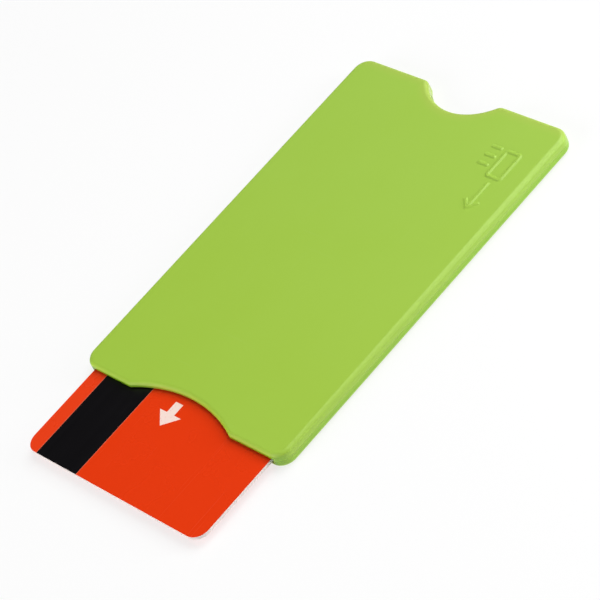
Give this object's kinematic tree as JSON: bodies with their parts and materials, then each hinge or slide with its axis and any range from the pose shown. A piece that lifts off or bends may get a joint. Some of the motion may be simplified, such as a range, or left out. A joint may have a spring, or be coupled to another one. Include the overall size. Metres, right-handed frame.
{
  "type": "rfid card sleeve",
  "caption": "Flat rigid plastic sleeve for one contactless card, open at one short end, with thumb cut-outs at both ends and a card sliding in it.",
  "frame": {"origin": "the middle of the sleeve's back face, on which it lies", "axes": "+X across the sleeve's width, +Y along its length from the mouth to the closed end, +Z out of the front face"},
  "size_m": [0.0604, 0.1113, 0.0041],
  "materials": {
    "sleeve_plastic": "moulded ABS, fine satin skin",
    "adhesive_film": "transfer adhesive",
    "shield_foil": "bright rolled foil",
    "liner_film": "smooth film",
    "laminate_film": "clear glossy film, seen with the orange print under it",
    "printed_sheet": "PVC sheet printed orange on its outer face",
    "core_sheet": "white PVC",
    "magnetic_tape": "black magnetic tape under a gloss skin",
    "stamping_foil": "white stamping foil",
    "antenna_wire": "copper wire",
    "contact_gold": "gold-plated copper",
    "module_tape": "glass-epoxy tape",
    "module_resin": "cast epoxy"
  },
  "bodies": {
    "sleeve": {"front_shell": "sleeve_plastic", "back_shell": "sleeve_plastic", "front_adhesive_film": "adhesive_film", "front_shield_foil": "shield_foil", "front_liner": "liner_film", "back_adhesive_film": "adhesive_film", "back_shield_foil": "shield_foil", "back_liner": "liner_film"},
    "card": {"card_face_film": "laminate_film", "card_face_sheet": "printed_sheet", "card_antenna_sheet": "core_sheet", "card_cover_sheet": "core_sheet", "card_back_sheet": "printed_sheet", "card_back_film": "laminate_film", "magnetic_stripe": "magnetic_tape", "stamped_arrow": "stamping_foil", "antenna_coil": "antenna_wire", "chip_contacts": "contact_gold", "chip_tape": "module_tape", "chip_resin": "module_resin"}
  },
  "joints": [
    {"name": "card_slide", "type": "slide", "parent": "sleeve", "child": "card", "axis": [0, -1, 0], "range_m": [-0.0229, 0.0653]}
  ]
}
